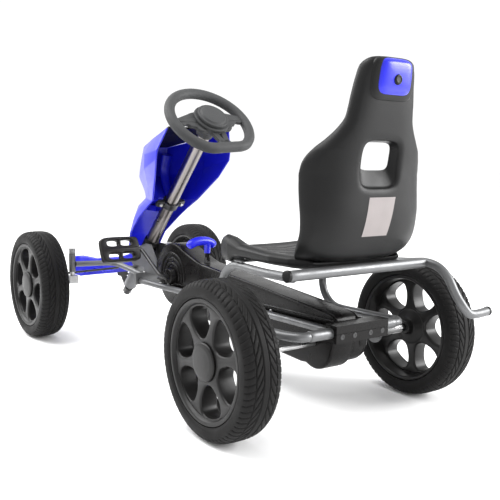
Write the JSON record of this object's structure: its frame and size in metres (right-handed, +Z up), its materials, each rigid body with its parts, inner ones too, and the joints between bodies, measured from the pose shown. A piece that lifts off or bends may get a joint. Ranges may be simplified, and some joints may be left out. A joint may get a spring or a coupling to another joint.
{
  "type": "pedal go kart",
  "caption": "Child's pedal go kart: tubular frame, chain drive in a moulded case, high-backed seat, D-shaped steering wheel, front fairing and spoked foam-tyred wheels.",
  "frame": {"origin": "on the ground, under the middle of the kart", "axes": "+X to the driver's left, +Y to the rear, +Z up"},
  "size_m": [0.596, 1.295, 0.699],
  "materials": {
    "frame_paint": "silver metallic paint",
    "steel": "plain turned steel",
    "black_steel": "black enamel",
    "blue_plastic": "glossy blue moulding",
    "gloss_black": "satin black moulding",
    "matte_black": "grained black moulding",
    "grip": "dark grey foam skin",
    "tyre": "moulded foam tyre",
    "rim": "black wheel moulding"
  },
  "bodies": {
    "frame": {"axle_bearing_left": "black_steel", "axle_bearing_right": "black_steel", "axle_gear_cover": "gloss_black", "axle_hanger_left": "frame_paint", "axle_hanger_right": "frame_paint", "bumper": "blue_plastic", "chain_case_lower": "gloss_black", "chain_case_upper": "gloss_black", "column_collar": "matte_black", "column_jacket": "frame_paint", "cross_tube": "frame_paint", "cross_tube_cap": "matte_black", "drive_chain": "steel", "fairing": "blue_plastic", "fairing_clamp": "black_steel", "fairing_top_panel": "matte_black", "front_axle_half_left": "frame_paint", "front_axle_half_right": "frame_paint", "head_bracket": "frame_paint", "head_tube": "frame_paint", "headrest_panel": "blue_plastic", "lateral_tube": "frame_paint", "lever_bracket": "black_steel", "neck_plate": "frame_paint", "seat_rail_left": "frame_paint", "seat_rail_right": "frame_paint", "seat_shell": "matte_black", "seat_strap": "frame_paint", "spine_tube_left": "frame_paint", "spine_tube_right": "frame_paint", "tail_tube_cap": "matte_black", "tube_clamp_lower": "matte_black", "tube_clamp_upper": "matte_black"},
    "steering": {"steering_shaft": "steel", "steering_wheel": "grip", "steering_hub_cover": "grip", "pitman_arm": "black_steel"},
    "knuckle_left": {"knuckle_left": "steel"},
    "knuckle_right": {"knuckle_right": "steel"},
    "tie_rod_left": {"tie_rod_left": "black_steel"},
    "tie_rod_right": {"tie_rod_right": "black_steel"},
    "front_wheel_left": {"tyre_front_left": "tyre", "rim_front_left": "rim", "hub_cap_front_left": "gloss_black"},
    "front_wheel_right": {"tyre_front_right": "tyre", "rim_front_right": "rim", "hub_cap_front_right": "gloss_black"},
    "rear_axle": {"rear_axle": "steel", "axle_sprocket": "steel", "tyre_rear_left": "tyre", "rim_rear_left": "rim", "hub_cap_rear_left": "gloss_black", "tyre_rear_right": "tyre", "rim_rear_right": "rim", "hub_cap_rear_right": "gloss_black"},
    "crank": {"crankset": "black_steel"},
    "pedal_left": {"pedal_left": "matte_black"},
    "pedal_right": {"pedal_right": "matte_black"},
    "hand_lever": {"lever_stem": "matte_black", "lever_grip": "blue_plastic"}
  },
  "joints": [
    {"name": "steering_turn", "type": "hinge", "parent": "frame", "child": "steering", "pos_m": [0, -0.31, 0.27], "axis": [0, 0.682, 0.7314], "range_deg": [-28, 28]},
    {"name": "kingpin_left", "type": "hinge", "parent": "frame", "child": "knuckle_left", "pos_m": [0.16, -0.49, 0.2], "axis": [0, 0, 1], "range_deg": [-28, 28]},
    {"name": "kingpin_right", "type": "hinge", "parent": "frame", "child": "knuckle_right", "pos_m": [-0.16, -0.49, 0.2], "axis": [0, 0, 1], "range_deg": [-28, 28]},
    {"name": "tie_rod_swing_left", "type": "hinge", "parent": "knuckle_left", "child": "tie_rod_left", "pos_m": [0.16, -0.54, 0.166], "axis": [0, 0, 1], "range_deg": [-28, 28]},
    {"name": "tie_rod_swing_right", "type": "hinge", "parent": "knuckle_right", "child": "tie_rod_right", "pos_m": [-0.16, -0.54, 0.166], "axis": [0, 0, 1], "range_deg": [-28, 28]},
    {"name": "front_wheel_spin_left", "type": "hinge", "parent": "knuckle_left", "child": "front_wheel_left", "pos_m": [0.259, -0.4975, 0.15], "axis": [1, 0, 0], "continuous": true},
    {"name": "front_wheel_spin_right", "type": "hinge", "parent": "knuckle_right", "child": "front_wheel_right", "pos_m": [-0.259, -0.4975, 0.15], "axis": [1, 0, 0], "continuous": true},
    {"name": "rear_axle_spin", "type": "hinge", "parent": "frame", "child": "rear_axle", "pos_m": [0, 0.4415, 0.15], "axis": [1, 0, 0], "continuous": true},
    {"name": "crank_spin", "type": "hinge", "parent": "frame", "child": "crank", "pos_m": [0, -0.1285, 0.206], "axis": [1, 0, 0], "continuous": true},
    {"name": "pedal_spin_left", "type": "hinge", "parent": "crank", "child": "pedal_left", "pos_m": [0.124, -0.24045, 0.26806], "axis": [1, 0, 0], "continuous": true},
    {"name": "pedal_spin_right", "type": "hinge", "parent": "crank", "child": "pedal_right", "pos_m": [-0.124, -0.01655, 0.14394], "axis": [1, 0, 0], "continuous": true},
    {"name": "hand_lever_tilt", "type": "hinge", "parent": "frame", "child": "hand_lever", "pos_m": [0.008, 0.004, 0.266], "axis": [1, 0, 0], "range_deg": [-15, 15]}
  ],
  "couplings": [
    {"joint": "kingpin_left", "follows": "steering_turn", "ratio": 1},
    {"joint": "kingpin_right", "follows": "steering_turn", "ratio": 1},
    {"joint": "tie_rod_swing_left", "follows": "steering_turn", "ratio": -1},
    {"joint": "tie_rod_swing_right", "follows": "steering_turn", "ratio": -1},
    {"joint": "crank_spin", "follows": "rear_axle_spin", "ratio": 0.75}
  ]
}
